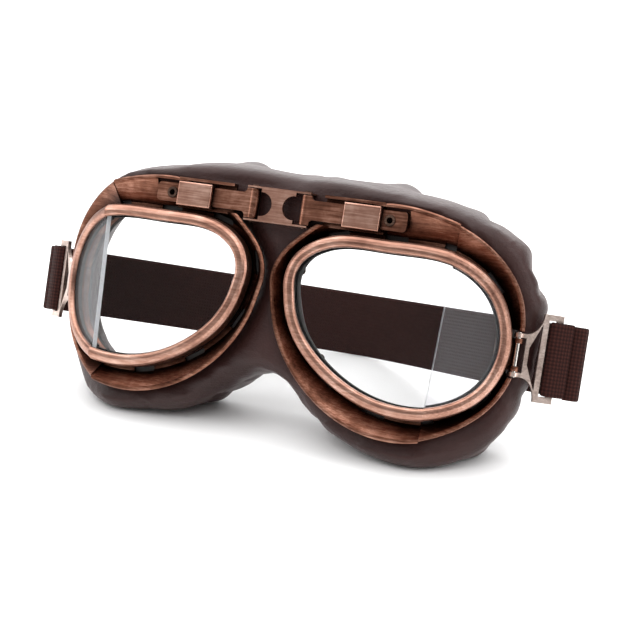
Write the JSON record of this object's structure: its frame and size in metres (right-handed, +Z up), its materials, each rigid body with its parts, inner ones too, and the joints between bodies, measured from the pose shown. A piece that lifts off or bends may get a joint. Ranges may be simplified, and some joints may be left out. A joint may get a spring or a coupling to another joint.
{
  "type": "motorcycle goggles",
  "caption": "Vintage motorcycle goggles: copper frames with folded clear lenses, a hinged nose bridge, a padded leather mask and an elastic strap on hinged buckles.",
  "frame": {"origin": "on the ground under the middle of the bounding box; the goggles stand on their mask and strap, leaning back 21 degrees", "axes": "+X towards the wearer's left, -Y the way the wearer looks, +Z up"},
  "size_m": [0.2168, 0.1032, 0.0885],
  "materials": {
    "copper": "antique brushed copper, darkened in the recesses",
    "bezel_copper": "antique brushed copper, rubbed bright",
    "buckle_metal": "copper-nickel plate, brushed",
    "steel_pin": "bright wire",
    "dark_metal": "blackened steel",
    "lens": "clear, polished",
    "gasket_rubber": "matt black",
    "clamp_black": "matt black",
    "pad_leather": "soft matt brown imitation leather over foam",
    "strap_webbing": "ribbed elastic webbing"
  },
  "bodies": {
    "root": {"face_pad": "pad_leather", "head_strap": "strap_webbing", "bridge_link": "copper", "left_bridge_pin": "dark_metal", "right_bridge_pin": "dark_metal"},
    "adjuster": {"strap_adjuster": "dark_metal"},
    "left_eye": {"left_frame": "copper", "left_bezel": "bezel_copper", "left_front_lens": "lens", "left_side_lens": "lens", "left_gasket": "gasket_rubber", "left_pad_clamp": "clamp_black", "left_clamp_screws": "dark_metal", "left_bridge_arm": "copper", "left_arm_sleeve": "copper", "left_arm_rivet": "dark_metal", "left_buckle_pin": "steel_pin"},
    "left_buckle": {"left_buckle": "buckle_metal", "left_strap_end": "strap_webbing"},
    "right_eye": {"right_frame": "copper", "right_bezel": "bezel_copper", "right_front_lens": "lens", "right_side_lens": "lens", "right_gasket": "gasket_rubber", "right_pad_clamp": "clamp_black", "right_clamp_screws": "dark_metal", "right_bridge_arm": "copper", "right_arm_sleeve": "copper", "right_arm_rivet": "dark_metal", "right_buckle_pin": "steel_pin"},
    "right_buckle": {"right_buckle": "buckle_metal", "right_strap_end": "strap_webbing"}
  },
  "joints": [
    {"name": "left_bridge_hinge", "type": "hinge", "parent": "root", "child": "left_eye", "pos_m": [0.0102, -0.02343, 0.07937], "axis": [0, 0.3584, 0.9336], "range_deg": [0, 15], "stiffness_Nm_per_rad": 0.25, "springref_deg": -5.73, "deforming": ["face_pad", "head_strap"]},
    {"name": "left_buckle_hinge", "type": "hinge", "parent": "left_eye", "child": "left_buckle", "pos_m": [0.08831, -0.02452, 0.03948], "axis": [0.0062, 0.3377, 0.9412], "range_deg": [-50, 15], "deforming": ["face_pad", "head_strap"]},
    {"name": "right_bridge_hinge", "type": "hinge", "parent": "root", "child": "right_eye", "pos_m": [-0.0102, -0.02343, 0.07937], "axis": [0, -0.3584, -0.9336], "range_deg": [0, 15], "stiffness_Nm_per_rad": 0.25, "springref_deg": -5.73, "deforming": ["face_pad", "head_strap"]},
    {"name": "right_buckle_hinge", "type": "hinge", "parent": "right_eye", "child": "right_buckle", "pos_m": [-0.08831, -0.02452, 0.03948], "axis": [0.0062, -0.3377, -0.9412], "range_deg": [-50, 15], "deforming": ["face_pad", "head_strap"]},
    {"name": "adjuster_slide", "type": "slide", "parent": "root", "child": "adjuster", "axis": [0.8398, 0.5068, -0.1946], "range_m": [-0.006, 0.006], "deforming": ["head_strap"]}
  ]
}
